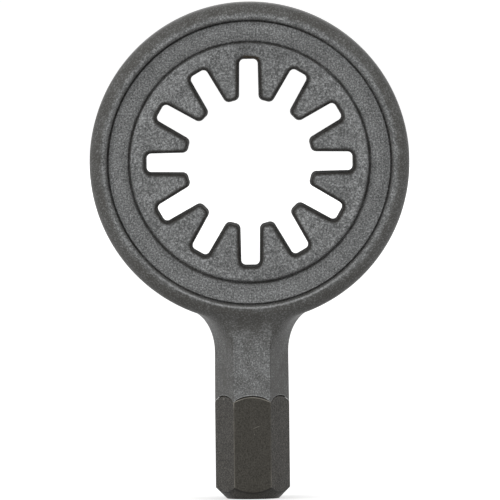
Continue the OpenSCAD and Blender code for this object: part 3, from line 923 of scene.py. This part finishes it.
def nylon_material(finish, head_z):
    """Glass-filled nylon: fine pale and dark specks on the moulded faces, a smoother and darker skin on the
    slopes, streaks round the head's axis, which also carry some painted shade and light, a weld mark and a
    brown stain above the top slot, painted highlights and a painted sheen, and painted shade in the
    grooves, the seam, on the star's walls, round the neck and on the rim's bottom, with dirt along one edge
    of the stem."""
    material, n = new_material("glass_filled_nylon")
    fine, pits, clouds = n.speckle(*NYLON_SCALES)
    grain = n.weight("grain")
    between = n.math("MULTIPLY", grain, n.math("SUBTRACT", 1.0, grain))
    uneven = n.math(
        "MULTIPLY", n.math("SUBTRACT", clouds, 0.5), n.math("MULTIPLY", between, NYLON_UNEVEN))
    grain = n.math("ADD", grain, uneven, clamp=True)
    patches = n.blend(clouds, finish.nylon_dull[:], finish.nylon[:])
    colour = n.blend(grain, finish.nylon_skin[:], patches)

    amount = n.span(grain, 0.0, 1.0, *NYLON_SPECKS)
    pale = n.math("MULTIPLY", n.span(fine, 0.5, 1.0), amount)
    dark = n.math("MULTIPLY", n.span(fine, 0.5, 0.0), amount)
    pitted = n.math("MULTIPLY", pits, n.math("MULTIPLY", amount, NYLON_PITS))
    colour = n.blend(pale, colour, finish.nylon_pale_and_highlight[:])
    colour = n.blend(dark, colour, finish.nylon_dark[:])
    colour = n.blend(pitted, colour, finish.nylon_dark[:])

    streaks, away = n.streaks(head_z, *STREAKS)
    depth = n.span(away, *STREAK_FADE, STREAK_DEPTH, 0.0)
    # The streaks also carry painted shade on the head's top and painted light on its left.
    streaks_and_shade = n.math("MULTIPLY", n.math("SUBTRACT", streaks, 0.5), depth)
    colour = n.blend(1.0, colour, n.math("ADD", streaks_and_shade, 1.0), "MULTIPLY")
    colour = n.blend(n.mark(*WELD_MARK, head_z), colour, finish.nylon_dark[:])
    # Painted highlight and painted sheen: this paling lightens the crest, the stem's last ring and the neck's
    # sides.
    rubbed_and_highlight = n.math("MULTIPLY", n.weight("wear"), n.span(fine, 0.0, 1.0, 0.2, 1.0))
    colour = n.blend(rubbed_and_highlight, colour, finish.nylon_pale_and_highlight[:])
    # Painted shade, with real dirt along one edge of the stem.
    crevice = n.weight("crevice")
    colour = n.blend(crevice, colour, finish.soot_and_shade[:])
    colour = n.blend(n.mark(*STAIN_MARK, head_z), colour, finish.nylon_stain[:])

    rough = n.span(grain, 0.0, 1.0, *NYLON_ROUGHNESS)
    rough = n.math("ADD", rough, n.math("MULTIPLY", fine, SPECK_ROUGHNESS))
    rough = n.math("ADD", rough, n.math("MULTIPLY", crevice, CREVICE_ROUGHNESS), clamp=True)
    height = n.math("MULTIPLY", fine, n.span(grain, 0.0, 1.0, *NYLON_RELIEF))
    n.surface(colour, rough, height, *NYLON_BUMP, NYLON_GLOSS)
    return material


def steel_material(finish):
    """Black oxide on steel: fine flecks, stronger and on a sootier ground on the slanted flats, bare metal
    where edges have rubbed, two scratches on the front, a chip with a pit beside it at the seam, and painted
    shade on the chamfer and along the free end's edge."""
    material, n = new_material("blackened_steel")
    fine, _, clouds = n.speckle(*STEEL_SCALES)
    slanted = n.weight("grain")
    worn = n.math("MULTIPLY", n.weight("wear"), n.span(clouds, 0.2, 0.7, 0.4, 1.0), clamp=True)
    front_flecks = n.math("MULTIPLY", fine, FLECKS_FRONT)
    side_flecks = n.span(fine, 0.3, 1.0, 0.0, FLECKS_SIDE)
    colour = n.blend(n.math("MULTIPLY", slanted, SIDE_SOOT), finish.steel[:], finish.soot_and_shade[:])
    colour = n.blend(n.span(slanted, 0.0, 1.0, front_flecks, side_flecks), colour, finish.steel_worn[:])
    colour = n.blend(worn, colour, finish.steel_worn[:])
    for mark in BARE_MARKS:
        colour = n.blend(n.mark(*mark), colour, finish.steel_worn[:])
    # Painted shade on the chamfer and the free end's edge, and the chip's real pit.
    shade_and_pit = n.math("MAXIMUM", n.weight("crevice"), n.mark(*CHIP_PIT))
    colour = n.blend(shade_and_pit, colour, finish.soot_and_shade[:])
    rough = n.span(clouds, 0.0, 1.0, *STEEL_ROUGHNESS)
    rough = n.math("SUBTRACT", rough, n.math("MULTIPLY", worn, POLISH))
    n.surface(colour, rough, fine, *STEEL_BUMP, STEEL_GLOSS)
    return material


def seen_ray(n):
    """One for what the camera sees, straight, in a gloss or through glass."""
    path = n.add("ShaderNodeLightPath")
    seen = n.math("MAXIMUM", path.outputs["Is Camera Ray"], path.outputs["Is Glossy Ray"])
    return n.math("MAXIMUM", seen, path.outputs["Is Transmission Ray"])


def floor_material():
    """White floor: paper that takes the shadow, with enough of its own white to reach the background's."""
    material, n = new_material("white_floor")
    paper = n.add("ShaderNodeBsdfDiffuse", {"Color": PAPER_GREY})
    away = n.vector("LENGTH", {0: n.spot()}, "Value")
    own = n.math("MULTIPLY", seen_ray(n), n.span(away, *GLOW_REACH, *GLOW))
    glow = n.add("ShaderNodeEmission", {"Color": WHITE, "Strength": own})
    both = n.add("ShaderNodeAddShader", {0: paper.outputs[0], 1: glow.outputs[0]})
    n.add("ShaderNodeOutputMaterial", {"Surface": both.outputs[0]})
    return material


def white_floor():
    """A square of floor under the bit's free end, wider than any view."""
    mesh = bpy.data.meshes.new("floor")
    low, high = -FLOOR_REACH, FLOOR_REACH
    mesh.from_pydata([(low, low, 0), (high, low, 0), (high, high, 0), (low, high, 0)], [], [(0, 1, 2, 3)])
    mesh.materials.append(floor_material())
    return put_in_scene("floor", mesh)


def white_surround(sky):
    """A world that shows as white, and that lights the object with the sky's strength."""
    world = bpy.data.worlds.new("white_surround")
    world.use_nodes = True
    n = Nodes(world.node_tree)
    strength = n.span(seen_ray(n), 0.0, 1.0, sky, 1.0)
    surround = n.add("ShaderNodeBackground", {"Color": WHITE, "Strength": strength})
    n.add("ShaderNodeOutputWorld", {"Surface": surround.outputs[0]})
    return world


def area_lamp(name, place, aim, watts):
    """A soft square lamp that looks at a point. The object's gloss shows the surround, and not the lamp."""
    lamp = bpy.data.lights.new(name, "AREA")
    lamp.size = LAMP_SIZE
    lamp.energy = watts
    thing = put_in_scene(name, lamp)
    thing.location = place
    thing.rotation_euler = (Vector(aim) - Vector(place)).to_track_quat("-Z", "Y").to_euler()
    thing.visible_glossy = False


def aimed_camera(stage):
    """The camera, its distance back from the aim along the elevation, and rolled about its own axis."""
    data = bpy.data.cameras.new("camera")
    data.sensor_width = SENSOR_WIDTH
    data.lens = data.sensor_width * stage.distance / stage.view_size
    data.clip_start, data.clip_end = CAMERA_CLIP
    camera = put_in_scene("camera", data)
    back = Vector((0.0, -math.cos(stage.elevation), math.sin(stage.elevation)))
    turn = (-back).to_track_quat("-Z", "Y").to_matrix() @ Matrix.Rotation(-stage.roll, 3, "Z")
    camera.location = Vector((stage.aim_x, 0.0, stage.aim_z)) + back * stage.distance
    camera.rotation_euler = turn.to_euler()
    return camera


class WRENCH_OT_moulded_head(bpy.types.Operator):
    """Build the moulded head with its star opening, neck and stem"""

    bl_idname = "wrench.moulded_head"
    bl_label = "Moulded head"

    def execute(self, context):
        scene = context.scene
        sizes = scene.wrench_head_sizes
        piece = build_head(sizes, scene.wrench_bit_sizes)
        piece.data.materials.append(nylon_material(scene.wrench_finish, sizes.head_z))
        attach(piece, "root")
        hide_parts("wrench_head")
        return {"FINISHED"}


class WRENCH_OT_hexagon_bit(bpy.types.Operator):
    """Build the blackened hexagon bit with its anchor"""

    bl_idname = "wrench.hexagon_bit"
    bl_label = "Hexagon bit"

    def execute(self, context):
        scene = context.scene
        piece = build_bit(scene.wrench_bit_sizes)
        piece.data.materials.append(steel_material(scene.wrench_finish))
        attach(piece, "root")
        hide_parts("hex_bit")
        return {"FINISHED"}


class WRENCH_OT_stage(bpy.types.Operator):
    """Lay the white floor, set the lamps and the camera"""

    bl_idname = "wrench.stage"
    bl_label = "Studio stage"

    def execute(self, context):
        scene = context.scene
        stage = scene.wrench_stage
        floor = white_floor()
        scene.world = white_surround(stage.sky)
        for side, place in LAMPS.items():
            watts = getattr(stage, f"{side}_power")
            area_lamp(f"{side}_lamp", place, (0.0, 0.0, stage.aim_z), watts)
        scene.camera = aimed_camera(stage)
        scene.view_settings.view_transform = "Standard"
        return {"FINISHED"}


class VIEW3D_PT_wrench(bpy.types.Panel):
    """Sizes, colours and the buttons that build the wrench"""

    bl_label = "Broadhead wrench"
    bl_space_type = "VIEW_3D"
    bl_region_type = "UI"
    bl_category = "Wrench"

    def draw(self, context):
        for operator, group in STEPS:
            box = self.layout.box()
            box.operator(operator.bl_idname)
            holder = getattr(context.scene, group)
            for name in holder.__annotations__:
                box.prop(holder, name)
        finish = context.scene.wrench_finish
        box = self.layout.box()
        for name in finish.__annotations__:
            box.prop(finish, name)


STEPS = (
    (WRENCH_OT_moulded_head, "wrench_head_sizes"),
    (WRENCH_OT_hexagon_bit, "wrench_bit_sizes"),
    (WRENCH_OT_stage, "wrench_stage"),
)
GROUPS = {
    "wrench_head_sizes": WrenchHeadSizes,
    "wrench_bit_sizes": WrenchBitSizes,
    "wrench_finish": WrenchFinish,
    "wrench_stage": WrenchStage,
}
CLASSES = tuple(GROUPS.values()) + tuple(operator for operator, _ in STEPS) + (VIEW3D_PT_wrench,)


def register():
    """Register the classes and hang the property groups on the scene."""
    for cls in CLASSES:
        bpy.utils.register_class(cls)
    for name, group in GROUPS.items():
        setattr(bpy.types.Scene, name, PointerProperty(type=group))


def unregister():
    """Take everything away again."""
    for name in GROUPS:
        delattr(bpy.types.Scene, name)
    for cls in reversed(CLASSES):
        bpy.utils.unregister_class(cls)


def main():
    """Build the wrench and its stage."""
    register()
    bpy.ops.wrench.moulded_head()
    bpy.ops.wrench.hexagon_bit()
    bpy.ops.wrench.stage()


if __name__ == "__main__":
    main()
